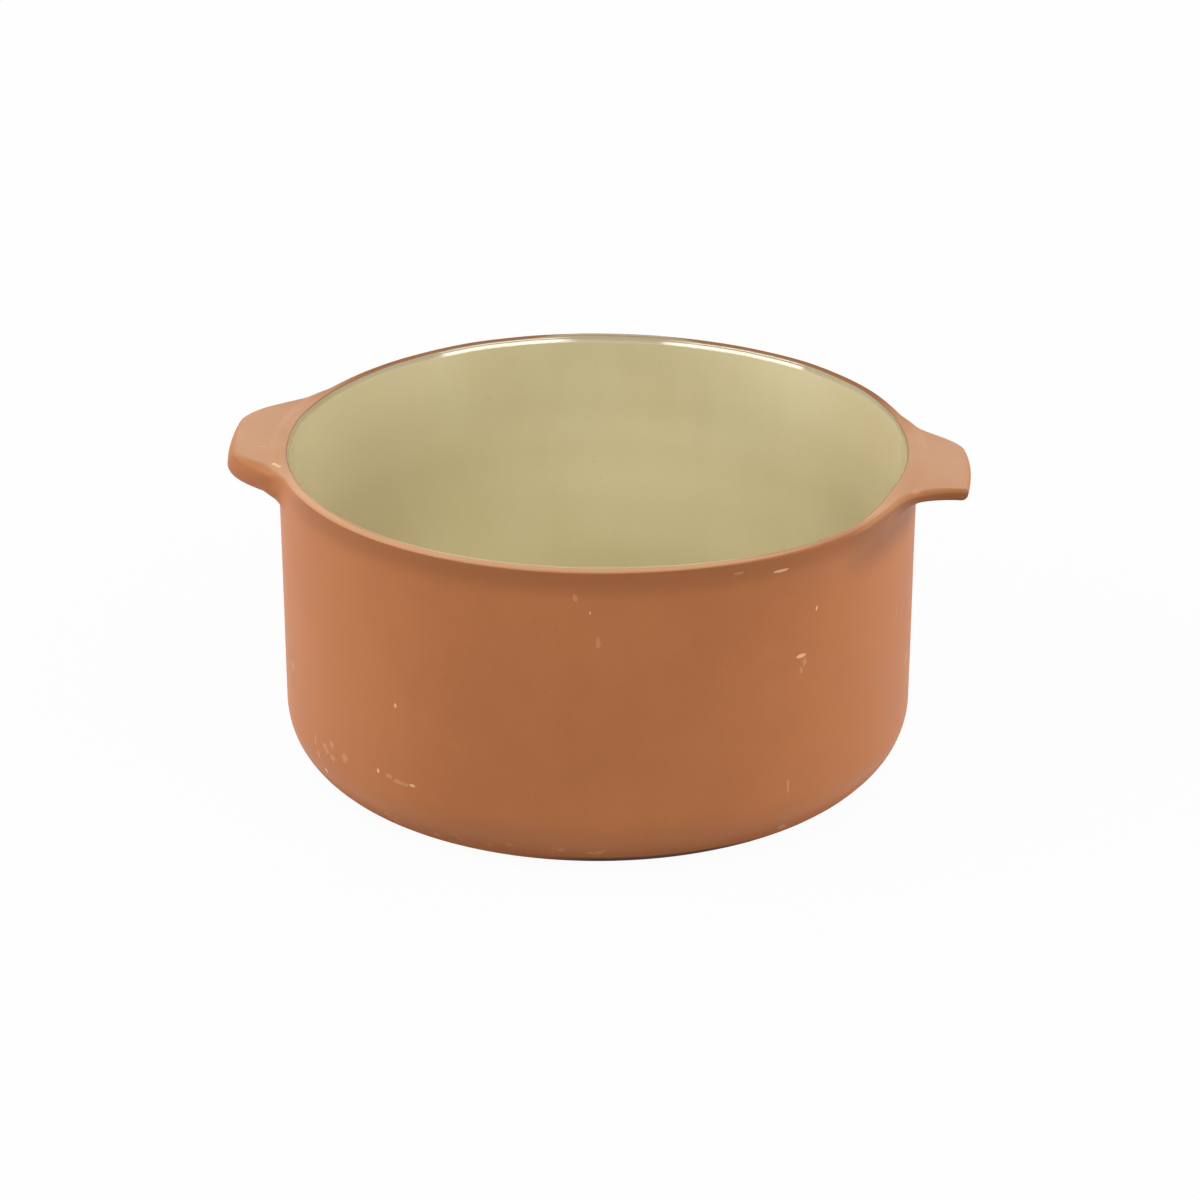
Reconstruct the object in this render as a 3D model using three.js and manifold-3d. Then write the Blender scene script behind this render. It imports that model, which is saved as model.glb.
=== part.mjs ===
// A round earthenware casserole: a thrown clay body with a rolled lip, two lug handles
// luted on just under the lip, and a glaze lining inside.
// Millimetres, +Z up, lugs along X, origin on the table under the middle of the pot.
import * as THREE from "three";
import { mergeVertices } from "three/addons/utils/BufferGeometryUtils.js";
import Module from "manifold-3d";

// Body: outside sizes
const RIM_DIAMETER = 230;
const HEIGHT = 120;
const DRAFT_DEGREES = 0.7; // the wall leans out by this much on its way up
const CORNER_RADIUS = 25; // outside, where the wall turns into the base
const LIP_EDGE = 2.25; // rounding on each side of the lip
const FOOT_WIDTH = 9; // ring that the pot stands on
const FOOT_RISE = 1.4; // hollow of the underside inside that ring
const FOOT_SLOPE = 7; // run over which the underside rises into the hollow

// Body: thicknesses
const WALL = 6;
const BASE = 8;
const INNER_CORNER_RADIUS = 20;

// Glaze lining
const GLAZE = 0.7;
const GLAZE_EDGE_DEGREES = 40; // how far the glaze climbs over the lip, from the wall

// Lugs. Each was pressed by hand, so the two differ.
const LUG_TOP_EDGE = 2.1; // rounding of the upper edge
const LUG_BLEND = 5; // hollow rounding from the lip down onto a lug
const LUG_FILLET = 6.5; // hollow rounding from a lug's underside into the wall
const RIGHT_LUG = {
  side: "right",
  turn: 0, // about the pot's axis, from +X
  reach: 18.3, // beyond the rim, at the middle
  slant: 0.12, // slope of the tip, which stands out further at the front
  tipWidth: 34, // stretch that has the full reach
  rootWidth: 83, // chord of the rim over which the lug runs out
  rake: 5, // how far the root lies further back than the tip
  drop: 1.6, // top of the lug below the lip
  thickness: 6,
  underEdge: 2.8, // rounding of the lower edge
};
const LEFT_LUG = {
  side: "left",
  turn: Math.PI,
  reach: 18.2,
  slant: 0,
  tipWidth: 28.5,
  rootWidth: 96,
  rake: 0,
  drop: 1,
  thickness: 9.8,
  underEdge: 4.2,
};
const LUGS = [RIGHT_LUG, LEFT_LUG];

// Luted joints
const SLIP = 0.5; // slip between the scored bed in the wall and the root of the lug
const ROOT_DEPTH = 0.5; // how far the root is let into its bed
const SEAM = 0.3; // clearance between neighbouring pieces

// Facets
const TURN_SEGMENTS = 72;
const CORNER_STEPS = 9;
const LIP_STEPS = 4;
const LUG_STATIONS = 24;
const LUG_STEPS = 8;
const ROOT_STEPS = 3;
const WELD = 1e-3; // corners closer than this are one corner

// Finishes
const CLAY = { color: 0xb2724d, roughness: 0.55, metalness: 0 };
const GLAZE_FINISH = { color: 0xc1b286, roughness: 0.22, metalness: 0 };
const SLIP_FINISH = { color: 0xa9684a, roughness: 0.8, metalness: 0 };

const wasm = await Module();
wasm.setup();

// Closed geometry to a solid for cutting, and back
function toSolid(geometry) {
  const bare = geometry.clone();
  bare.deleteAttribute("normal");
  bare.deleteAttribute("uv");
  const merged = mergeVertices(bare, WELD);
  const index = merged.index.array;
  const triVerts = [];
  for (let i = 0; i < index.length; i += 3) {
    const [a, b, c] = index.slice(i, i + 3);
    if (a !== b && b !== c && c !== a) triVerts.push(a, b, c);
  }
  return new wasm.Manifold(
    new wasm.Mesh({
      numProp: 3,
      vertProperties: merged.attributes.position.array,
      triVerts: new Uint32Array(triVerts),
    }),
  );
}

function toGeometry(solid) {
  const { vertProperties, triVerts } = solid.getMesh();
  const geometry = new THREE.BufferGeometry();
  geometry.setAttribute("position", new THREE.BufferAttribute(vertProperties, 3));
  geometry.setIndex(new THREE.BufferAttribute(triVerts, 1));
  geometry.computeVertexNormals();
  return geometry;
}

// Profiles are lists of (radius, height)
const at = (radius, height) => new THREE.Vector2(radius, height);

function arc(centre, radius, fromAngle, toAngle, steps) {
  return Array.from({ length: steps + 1 }, (_, i) => {
    const angle = fromAngle + ((toAngle - fromAngle) * i) / steps;
    return at(centre.x + radius * Math.cos(angle), centre.y + radius * Math.sin(angle));
  });
}

// Centres that the body's roundings share. The wall is a straight line that leans by the
// draft and touches each of them, outside and inside.
const DOWN = -Math.PI / 2;
const UP = Math.PI / 2;
const lean = THREE.MathUtils.degToRad(DRAFT_DEGREES);
const rimRadius = RIM_DIAMETER / 2;
const lipOutside = at(rimRadius - LIP_EDGE, HEIGHT - LIP_EDGE);

// Distance of the wall line from the axis, measured square to it
const acrossWall = (p) => p.x * Math.cos(lean) - p.y * Math.sin(lean);
const outerWall = acrossWall(lipOutside) + LIP_EDGE;
const innerWall = outerWall - WALL;
const radiusOnWall = (across, height) => (across + height * Math.sin(lean)) / Math.cos(lean);
const roundingCentre = (across, height) => at(radiusOnWall(across, height), height);

const cornerOutside = roundingCentre(outerWall - CORNER_RADIUS, CORNER_RADIUS);
const cornerInside = roundingCentre(innerWall - INNER_CORNER_RADIUS, BASE + INNER_CORNER_RADIUS);
const lipInside = roundingCentre(innerWall + LIP_EDGE, HEIGHT - LIP_EDGE);

// Inside of the pot, from the middle of the floor up to the lip, at a depth of glaze
function insideProfile(depth, lipAngle) {
  return [
    at(0, BASE + depth),
    ...arc(cornerInside, INNER_CORNER_RADIUS - depth, DOWN, -lean, CORNER_STEPS),
    ...arc(lipInside, LIP_EDGE + depth, Math.PI - lean, lipAngle, LIP_STEPS),
  ];
}

function turned(profile) {
  const geometry = new THREE.LatheGeometry(profile, TURN_SEGMENTS);
  return geometry.rotateX(Math.PI / 2);
}

// Clay body, thrown in one piece, before the beds for the lugs are scored
function bodyBlank() {
  const footOutside = cornerOutside.x;
  const footInside = footOutside - FOOT_WIDTH;
  return turned([
    at(0, FOOT_RISE),
    at(footInside - FOOT_SLOPE, FOOT_RISE),
    at(footInside, 0),
    ...arc(cornerOutside, CORNER_RADIUS, DOWN, -lean, CORNER_STEPS),
    ...arc(lipOutside, LIP_EDGE, -lean, UP, LIP_STEPS),
    ...insideProfile(0, UP).reverse(),
  ]);
}

// Glaze lining, a thin coat over the whole inside up to the lip
function glazeLining() {
  const edge = Math.PI - THREE.MathUtils.degToRad(GLAZE_EDGE_DEGREES);
  return turned([
    ...insideProfile(SEAM, edge),
    ...insideProfile(SEAM + GLAZE, edge).reverse(),
  ]);
}

// Lug in plan: its reach beyond the rim at an angle from its middle. The front half is at
// negative angles on a lug that isn't turned.
const frontAngle = (lug) => -Math.asin((lug.rootWidth / 2 - lug.rake) / rimRadius);
const backAngle = (lug) => Math.asin((lug.rootWidth / 2 + lug.rake) / rimRadius);

function reachAt(lug, angle) {
  const tipAngle = Math.asin(lug.tipWidth / 2 / (rimRadius + lug.reach));
  const rootAngle = angle < 0 ? -frontAngle(lug) : backAngle(lug);
  const share = THREE.MathUtils.smoothstep(-Math.abs(angle), -rootAngle, -tipAngle);
  return share * (lug.reach - lug.slant * rimRadius * Math.sin(angle));
}

// Lug in section: heights, and where its top leaves the rounding of the lip, as an angle
// from upright
const lugTop = (lug) => HEIGHT - lug.drop;
const lugUnder = (lug) => lugTop(lug) - lug.thickness;
const lugFoot = (lug) => lugUnder(lug) - LUG_FILLET;
const leaveAngle = (lug) => Math.acos(1 - lug.drop / (LIP_EDGE + LUG_BLEND));

// Outside of the wall and lip behind a lug at an offset from the clay, from the foot of the
// lug up to where its top leaves the lip. The margin lengthens it at both ends.
function rootProfile(lug, offset, margin) {
  const foot = lugFoot(lug) - margin;
  const end = UP - leaveAngle(lug) + margin / LIP_EDGE;
  return [
    at(radiusOnWall(outerWall + offset, foot), foot),
    ...arc(lipOutside, LIP_EDGE + offset, -lean, end, ROOT_STEPS),
  ];
}

// Drop of a quarter-round edge at a distance in from the edge, zero past its radius
function quarterRound(radius, distance) {
  const run = Math.max(radius - distance, 0);
  return radius - Math.sqrt(Math.max(radius * radius - run * run, 0));
}

// Spacing that crowds the points towards both ends of a stretch
const crowded = (i, steps) => (1 - Math.cos((Math.PI * i) / steps)) / 2;

// Shown face of a lug in the plane through the axis: out along the underside from the wall,
// round the edge, and back along the top to the lip
function shownProfile(lug, angle) {
  const tip = rimRadius + reachAt(lug, angle);
  const leave = leaveAngle(lug);
  const footRadius = radiusOnWall(outerWall, lugFoot(lug));
  const topRadius = lipOutside.x + LIP_EDGE * Math.sin(leave);
  const underRun = tip - footRadius;
  const topRun = tip - topRadius;
  const underEdge = Math.min(lug.underEdge, lug.thickness / 2, underRun / 2);
  const topEdge = Math.min(LUG_TOP_EDGE, lug.thickness / 2, topRun / 2);
  const blendRun = LUG_BLEND * Math.sin(leave);
  const points = [];
  for (let i = 0; i <= LUG_STEPS; i++) {
    const run = underRun * crowded(i, LUG_STEPS);
    const fillet = quarterRound(LUG_FILLET, run);
    const edge = quarterRound(underEdge, underRun - run);
    points.push(at(footRadius + run, lugUnder(lug) - fillet + edge));
  }
  for (let i = LUG_STEPS; i >= 0; i--) {
    const run = topRun * crowded(i, LUG_STEPS);
    const left = Math.max(blendRun - run, 0);
    const blend = LUG_BLEND - Math.sqrt(LUG_BLEND * LUG_BLEND - left * left);
    const edge = quarterRound(topEdge, topRun - run);
    points.push(at(topRadius + run, lugTop(lug) + blend - edge));
  }
  return points;
}

// Solid swept round the axis, from a closed profile for each angle
function swept(profileAt, fromAngle, toAngle) {
  const angles = Array.from(
    { length: LUG_STATIONS + 1 },
    (_, i) => fromAngle + ((toAngle - fromAngle) * i) / LUG_STATIONS,
  );
  const loops = angles.map(profileAt);
  const count = loops[0].length;
  const positions = loops.flatMap((loop, j) =>
    loop.flatMap((p) => [p.x * Math.cos(angles[j]), p.x * Math.sin(angles[j]), p.y]),
  );
  const index = [];
  for (let j = 0; j < LUG_STATIONS; j++) {
    for (let i = 0; i < count; i++) {
      const next = (i + 1) % count;
      const [a, b] = [j * count + i, j * count + next];
      index.push(a, a + count, b + count, a, b + count, b);
    }
  }
  const last = LUG_STATIONS * count;
  for (const [a, b, c] of THREE.ShapeUtils.triangulateShape(loops[0], [])) index.push(a, b, c);
  for (const [a, b, c] of THREE.ShapeUtils.triangulateShape(loops[LUG_STATIONS], [])) {
    index.push(last + a, last + c, last + b);
  }
  const geometry = new THREE.BufferGeometry();
  geometry.setAttribute("position", new THREE.Float32BufferAttribute(positions, 3));
  geometry.setIndex(index);
  geometry.computeVertexNormals();
  return geometry;
}

// Depths below the outside of the wall, from the lug's root in to the bottom of its bed
const rootFace = -ROOT_DEPTH;
const slipOuter = rootFace - SEAM;
const slipInner = slipOuter - SLIP;
const bedFloor = slipInner - SEAM;
const seamAngle = SEAM / rimRadius;

function lugSolid(lug) {
  const root = rootProfile(lug, rootFace, 0).reverse();
  const loopAt = (angle) => [...shownProfile(lug, angle), ...root];
  return swept(loopAt, frontAngle(lug), backAngle(lug));
}

function slipSolid(lug) {
  const outer = rootProfile(lug, slipOuter, 0);
  const inner = rootProfile(lug, slipInner, 0).reverse();
  return swept(() => [...outer, ...inner], frontAngle(lug), backAngle(lug));
}

// What is scored out of the wall: the bed, carried out past the lip
function bedCutter(lug) {
  const floor = rootProfile(lug, bedFloor, SEAM).reverse();
  const outside = rootProfile(lug, LIP_EDGE, SEAM);
  const loopAt = () => [...outside, ...floor];
  return swept(loopAt, frontAngle(lug) - seamAngle, backAngle(lug) + seamAngle);
}

function potBody() {
  let clay = toSolid(bodyBlank());
  for (const lug of LUGS) {
    clay = clay.subtract(toSolid(bedCutter(lug).rotateZ(lug.turn)));
  }
  return toGeometry(clay);
}

function piece(name, geometry, finish) {
  const mesh = new THREE.Mesh(geometry, new THREE.MeshStandardMaterial(finish));
  mesh.name = name;
  return mesh;
}

const casserole = new THREE.Group();
casserole.add(piece("pot_body", potBody(), CLAY));
casserole.add(piece("glaze_lining", glazeLining(), GLAZE_FINISH));
for (const lug of LUGS) {
  const joint = new THREE.Group();
  joint.rotation.z = lug.turn;
  joint.add(piece(`${lug.side}_lug_handle`, lugSolid(lug), CLAY));
  joint.add(piece(`${lug.side}_luting_slip`, slipSolid(lug), SLIP_FINISH));
  casserole.add(joint);
}

export default casserole;
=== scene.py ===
# Looks of a round earthenware casserole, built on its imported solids.
# Metres, +Z up, lugs along X, front at -Y, origin on the table under the middle of the pot.
import math

import bpy
import numpy as np
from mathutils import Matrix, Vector, noise


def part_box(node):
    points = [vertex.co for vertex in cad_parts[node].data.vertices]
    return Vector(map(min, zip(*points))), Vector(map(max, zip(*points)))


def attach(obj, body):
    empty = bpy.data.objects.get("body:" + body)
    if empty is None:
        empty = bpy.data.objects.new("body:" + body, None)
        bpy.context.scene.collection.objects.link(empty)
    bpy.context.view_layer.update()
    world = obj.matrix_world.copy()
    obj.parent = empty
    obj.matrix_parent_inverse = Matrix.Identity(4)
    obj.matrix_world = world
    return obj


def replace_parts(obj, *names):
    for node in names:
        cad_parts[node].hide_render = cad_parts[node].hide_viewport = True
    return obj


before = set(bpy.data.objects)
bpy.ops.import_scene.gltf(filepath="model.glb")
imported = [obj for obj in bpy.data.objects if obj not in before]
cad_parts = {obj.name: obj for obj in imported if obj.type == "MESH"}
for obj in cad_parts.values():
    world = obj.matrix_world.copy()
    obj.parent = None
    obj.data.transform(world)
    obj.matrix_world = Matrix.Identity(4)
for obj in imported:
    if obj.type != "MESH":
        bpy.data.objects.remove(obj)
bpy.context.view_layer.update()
scene = bpy.context.scene


# Clay body and lug handles. The body is red earthenware, thrown in one piece and cut flat along the
# lip. Each lug is pressed from the same clay, set in a bed scored in the wall, and smoothed out of the
# lip and wall until no joint shows. So one skin is built over all three, and parted along the joints.
rim_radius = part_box("pot_body")[1].y
pot_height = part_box("pot_body")[1].z
DRAFT = math.radians(0.7)  # the wall leans out by this much on its way up
WALL = 0.0036  # as thin as the lip shows it
BASE = 0.008  # thickness of the floor inside
CORNER_RADIUS = 0.025  # outside, where the wall turns into the base
INNER_CORNER_RADIUS = 0.020
LIP_EDGE = 0.0007  # rounding of the lip's outer edge
LIP_INNER_EDGE = 0.0010  # rounding into the mouth, under the glaze
LIP_FALL = 0.0002  # the lip's outer edge lies this much below its crown
FOOT_WIDTH = 0.009  # ring that the pot stands on
FOOT_RISE = 0.0014  # hollow of the underside inside that ring
FOOT_SLOPE = 0.007  # stretch over which it rises to that hollow
LUG_FALL = 0.0045  # stretch over which a lug's top falls away from the lip
LUG_DROOP = 0.018  # and over which its front droops
LUG_FILLET = 0.0065  # hollow rounding from a lug's underside into the wall
SIDE_HOLLOW = 1.25  # above 1, the sides of a lug are hollowed where they leave the wall
TIP_CORNER = 0.006  # softening of the corner between a straight side and the tip
LUG_RUN_OUT = 0.35  # share of a lug's reach over which its ends melt into a flare of the wall
TOP_EDGE_GAIN = 1.6  # above 1, a lug's top edge is fully rounded before its full reach
FILLET_SHARE = 0.8  # of a short underside, at most, that the hollow rounding takes up
SEAM_INSET = 0.0022  # joint on top of the lip, in from the rim
BED_EDGE = 0.00225  # rounding of the wall under the lug's root
BED_DEPTH = 0.0016  # of the bed let into the wall
ROOT_DEPTH = 0.0005  # of the lug's root in it, with the slip between them
# A lug's shifts are counter-clockwise as seen from above
RIGHT_LUG = {
    "name": "right_lug",
    "node": "right_lug_handle",
    "turn": 0.0,
    "reach": 0.0192,  # beyond the rim, at its middle
    "slant": 0.12,  # reach lost for each metre of shift, so that the tip runs askew
    "tip_width": 0.038,
    "tip_shift": -0.002,
    "root_width": 0.083,
    "root_shift": 0.005,
    "run_out": math.radians(23.85),  # its sides melt into the rim here, from its middle
    "front_side": (0.0222, 0.027),  # front side from its middle, and radius of its hollow into the rim
    "tail": 0.0010,  # clay wiped along the lip from the front side, and where it ends and begins
    "tail_run": (math.radians(27), math.radians(17)),
    "drop": (0.0004, 0.0016),  # top below the lip, at the front and at the back
    "droop": (0.0006, 0.0),  # further fall on the way to the tip
    "top_edge": (0.0009, 0.0021),
    "under": 0.0060,  # underside below the lip
    "under_edge": 0.0028,
    "root_end": math.radians(39),  # from upright, on the rounding under the root
}
LEFT_LUG = {
    "name": "left_lug",
    "node": "left_lug_handle",
    "turn": math.pi,
    "reach": 0.0194,
    "slant": 0.06,
    "tip_width": 0.032,
    "tip_shift": 0.001,
    "root_width": 0.096,
    "root_shift": 0.0,
    "run_out": math.radians(24.67),
    "front_side": None,
    "drop": (0.0002, 0.0010),
    "droop": (0.0022, 0.0),
    "top_edge": (0.0060, 0.0021),
    "under": 0.0108,
    "under_edge": 0.0042,
    "root_end": math.radians(30),
}
UP = math.pi / 2

seam_radius = rim_radius - SEAM_INSET
inner_lip_height = pot_height - LIP_INNER_EDGE
outer_wall = (
    (rim_radius - LIP_EDGE) * math.cos(DRAFT) - (pot_height - LIP_EDGE) * math.sin(DRAFT) + LIP_EDGE
)


def wall_radius(height, inset=0.0):
    """Radius of the outside of the wall at a height, or of a line inset from it."""
    return (outer_wall - inset + height * math.sin(DRAFT)) / math.cos(DRAFT)


inner_lip_radius = wall_radius(inner_lip_height, WALL - LIP_INNER_EDGE)
corner_centre = (wall_radius(CORNER_RADIUS, CORNER_RADIUS), CORNER_RADIUS)
inner_corner_height = BASE + INNER_CORNER_RADIUS
inner_corner_centre = (
    wall_radius(inner_corner_height, WALL + INNER_CORNER_RADIUS),
    inner_corner_height,
)


def ease(share):
    """The share from 0 to 1, setting off and ending softly."""
    share = np.clip(share, 0, 1)
    return share * share * (3 - 2 * share)


def lug_ends(lug):
    """Angles from the lug's middle where it has run out, at negative and at positive angles."""
    half = lug["root_width"] / 2
    return (
        -math.asin((half - lug["root_shift"]) / rim_radius),
        math.asin((half + lug["root_shift"]) / rim_radius),
    )


def lug_reach(lug, angle):
    """Reach beyond the rim at an angle from the lug's middle, and its share of the full reach."""
    full = lug["reach"] - lug["slant"] * rim_radius * np.sin(angle)
    tip_half = lug["tip_width"] / 2 + np.where(angle < 0, -1, 1) * lug["tip_shift"]
    tip_angle = np.arcsin(tip_half / (rim_radius + lug["reach"]))
    share = ease((lug["run_out"] - np.abs(angle)) / (lug["run_out"] - tip_angle)) ** SIDE_HOLLOW
    if lug["front_side"] is None:
        return share * full, share
    # A circle that touches the rim from outside gives the hollow. It also touches the line of the front
    # side, and each line out from the axis ends where it meets the circle.
    side, hollow = lug["front_side"]
    to_hollow = rim_radius + hollow
    turn = np.abs(angle) - math.asin((side + hollow) / to_hollow)
    along = to_hollow * np.cos(turn)
    crossing = along**2 - to_hollow**2 + hollow**2
    met = along - np.sqrt(np.maximum(crossing, 0)) - rim_radius
    met = np.where(turn > 0, 0, np.where(crossing < 0, full + TIP_CORNER, met))
    corner = np.maximum(TIP_CORNER - np.abs(met - full), 0)
    front = np.minimum(met, full) - corner**2 / (4 * TIP_CORNER)
    share = np.where(angle < 0, front / full, share)
    tail_end, tail_start = lug["tail_run"]
    tail = lug["tail"] * ease((tail_end + angle) / (tail_end - tail_start)) * (angle < 0)
    return share * full + (1 - share) * tail, share


def lug_foot(lug):
    """Height at which the hollow rounding leaves the wall."""
    return pot_height - lug["under"] - LUG_FILLET


def quarter_round(radius, distance):
    """Drop of a quarter-round edge at a distance in from the edge."""
    run = np.maximum(radius - distance, 0)
    return radius - np.sqrt(np.maximum(radius**2 - run**2, 0))


def rows_between(start, end, steps):
    """Rows from start up to but without end, one value per column."""
    share = np.arange(steps)[:, None] / steps
    return start + (end - start) * share


# Rows up the side of a lug, or up the wall beside it, and over the top of the lug and the lip
FILLET_ROWS = 9
UNDER_ROWS = 7
EDGE_ROWS = 8
FACE_ROWS = 6
SIDE_ROWS = FILLET_ROWS + UNDER_ROWS + EDGE_ROWS + FACE_ROWS
TOP_ROWS = 3 * EDGE_ROWS + 1


def lug_side(lug, reach, shoulder):
    """Radii and heights out along the underside from the wall, and up the edge to the shoulder."""
    under = pot_height - lug["under"]
    foot_radius = wall_radius(lug_foot(lug))
    under_run = rim_radius + reach - foot_radius
    edge = np.minimum(under_run / 2, lug["under_edge"])
    fillet_end = np.minimum(LUG_FILLET, FILLET_SHARE * (under_run - edge))
    fillet_turn = rows_between(0, np.arccos(1 - fillet_end / LUG_FILLET), FILLET_ROWS)
    edge_turn = rows_between(0, UP, EDGE_ROWS)
    run = np.vstack(
        [
            LUG_FILLET * (1 - np.cos(fillet_turn)),
            rows_between(fillet_end, under_run - edge, UNDER_ROWS),
            under_run - edge + edge * np.sin(edge_turn),
        ]
    )
    under_heights = under - quarter_round(LUG_FILLET, run) + quarter_round(edge, under_run - run)
    face_start = under - quarter_round(LUG_FILLET, under_run) + edge
    face_heights = rows_between(face_start, shoulder, FACE_ROWS)
    radii = np.vstack([foot_radius + run, np.tile(rim_radius + reach, (FACE_ROWS, 1))])
    return radii, np.vstack([under_heights, face_heights])


def flared_side(foot, reach, shoulder):
    """Radii and heights up the wall, flared out by a small reach at the shoulder."""
    heights = rows_between(foot, shoulder, SIDE_ROWS)
    return wall_radius(heights) + reach * ease((heights - foot) / (shoulder - foot)), heights


def lip_height(radius):
    """Height of the lip's top, which slopes a little outward."""
    outward = (radius - inner_lip_radius) / (rim_radius - inner_lip_radius)
    return pot_height - LIP_FALL * np.clip(outward, 0, 1)


def top_side(reach, drop, droop, edge):
    """Radii and heights round the upper edge of a lug or of the lip, and in to the joint."""
    run = SEAM_INSET + reach
    near = np.minimum(SEAM_INSET + LUG_FALL, (run - edge) / 2)
    inward = np.vstack(
        [
            run - edge + edge * np.cos(rows_between(0, UP, EDGE_ROWS)),
            rows_between(run - edge, near, EDGE_ROWS),
            rows_between(near, 0, EDGE_ROWS),
            np.zeros((1, len(reach))),
        ]
    )
    outward = inward - SEAM_INSET
    fall = drop * ease(outward / LUG_FALL) + droop * np.clip(outward / LUG_DROOP, 0, 1) ** 2
    radii = seam_radius + inward
    return radii, lip_height(radii) - fall - quarter_round(edge, run - inward)


# Columns of the skin, closer together on the lugs
def turn_through(start, end, step):
    """Angles from start up to but without end."""
    count = math.ceil((end - start) / step)
    return start + (end - start) * np.arange(count) / count


right_start, right_end = lug_ends(RIGHT_LUG)
left_start, left_end = (LEFT_LUG["turn"] + angle for angle in lug_ends(LEFT_LUG))
LUG_STEP = math.radians(0.25)
WALL_STEP = math.radians(1.25)
stretches = [
    turn_through(right_start, right_end, LUG_STEP),
    turn_through(right_end, left_start, WALL_STEP),
    turn_through(left_start, left_end, LUG_STEP),
    turn_through(left_end, right_start + math.tau, WALL_STEP),
]
columns = np.concatenate(stretches)
joints = np.cumsum([len(stretch) for stretch in stretches])
lug_columns = {
    "right_lug": np.arange(0, joints[0] + 1),
    "left_lug": np.arange(joints[1], joints[2] + 1),
}

# Between the lugs the same rows lie on the bare wall and lip, and pass from the foot of one lug to
# the foot of the other
to_left = np.concatenate(
    [
        np.zeros(len(stretches[0])),
        ease((stretches[1] - right_end) / (left_start - right_end)),
        np.ones(len(stretches[2])),
        ease((right_start + math.tau - stretches[3]) / (right_start + math.tau - left_end)),
    ]
)
feet = lug_foot(RIGHT_LUG) + (lug_foot(LEFT_LUG) - lug_foot(RIGHT_LUG)) * to_left
bare = np.zeros(len(columns))
side_radii, side_heights = flared_side(feet, bare, pot_height - LIP_FALL - LIP_EDGE)
top_radii, top_heights = top_side(bare, bare, bare, LIP_EDGE + bare)
for lug in (RIGHT_LUG, LEFT_LUG):
    from_middle = (columns - lug["turn"] + math.pi) % math.tau - math.pi
    reach, share = lug_reach(lug, from_middle)
    place = np.nonzero(reach > 0)[0]
    reach, share = reach[place], share[place]
    back = np.clip(0.5 + rim_radius * np.sin(columns[place]) / lug["root_width"], 0, 1)
    drop, droop, edge = (
        lug[name][0] + (lug[name][1] - lug[name][0]) * back for name in ("drop", "droop", "top_edge")
    )
    edge = LIP_EDGE + (edge - LIP_EDGE) * ease(share * TOP_EDGE_GAIN)
    top_radii[:, place], top_heights[:, place] = top_side(reach, drop, droop, edge)
    shoulder = top_heights[0, place]
    flared = np.stack(flared_side(lug_foot(lug), reach, shoulder))
    full = np.stack(lug_side(lug, reach, shoulder))
    melted = flared + (full - flared) * ease(share / LUG_RUN_OUT)
    side_radii[:, place], side_heights[:, place] = melted
lug_radii = np.vstack([side_radii, top_radii])
lug_heights = np.vstack([side_heights, top_heights])


def arc(centre, radius, start, end, steps):
    """Radii and heights along a rounding that is the same all the way round the pot."""
    turn = np.linspace(start, end, steps + 1)[:, None] * np.ones(len(columns))
    return centre[0] + radius * np.cos(turn), centre[1] + radius * np.sin(turn)


def ring_rows(points):
    """Rows of plain rings, each a radius and a height."""
    radii, heights = np.array(points).T[:, :, None] * np.ones(len(columns))
    return radii, heights


UNDERSIDE_RINGS = (0.02, 0.05)  # radii, across the flat of the underside
FLOOR_RINGS = (0.06, 0.03)  # and across the floor inside
CORNER_STEPS = 20
WALL_ROWS = 24
LIP_STEPS = 9
INNER_CORNER_STEPS = 8
foot_inside = corner_centre[0] - FOOT_WIDTH
underside = ring_rows(
    [
        *((radius, FOOT_RISE) for radius in UNDERSIDE_RINGS),
        (foot_inside - FOOT_SLOPE, FOOT_RISE),
        (foot_inside - FOOT_SLOPE / 2, FOOT_RISE / 2),
        (foot_inside, 0),
    ]
)
corner = arc(corner_centre, CORNER_RADIUS, -UP, -DRAFT, CORNER_STEPS)
wall_heights = rows_between(corner[1][-1], lug_heights[0], WALL_ROWS)[1:]
wall = (wall_radius(wall_heights), wall_heights)
lip_top = ring_rows([(r, lip_height(r)) for r in np.linspace(seam_radius, inner_lip_radius, 4)[1:-1]])
inner_lip = (inner_lip_radius, inner_lip_height)
lip_inside = arc(inner_lip, LIP_INNER_EDGE, UP, math.pi - DRAFT, LIP_STEPS)
inner_corner = arc(inner_corner_centre, INNER_CORNER_RADIUS, -DRAFT, -UP, INNER_CORNER_STEPS)
inner_floor = ring_rows([(radius, BASE) for radius in FLOOR_RINGS])
profile = [
    underside,
    corner,
    wall,
    (lug_radii, lug_heights),
    lip_top,
    lip_inside,
    inner_corner,
    inner_floor,
]
skin_radii = np.vstack([radii for radii, _ in profile])
skin_heights = np.vstack([heights for _, heights in profile])
first_lug_row = sum(len(radii) for radii, _ in profile[:3])
lug_rows = np.arange(first_lug_row, first_lug_row + len(lug_radii))


def round_axis(radii, heights, angles):
    """Points at these radii and heights, by their angles round the pot."""
    return np.stack([radii * np.cos(angles), radii * np.sin(angles), heights], axis=-1)


SWAY = 0.00035  # how far the clay strays from true over a hand's breadth
SWAYS = 14  # in a metre
RIPPLE = 0.00012  # and over a thumb's breadth
RIPPLES = 60  # in a metre round the pot, and half as many up it
LEVEL_FOOT = 0.012  # below this the clay stays flat on the table
noise.seed_set(7)  # so that every run makes the same pot


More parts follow.
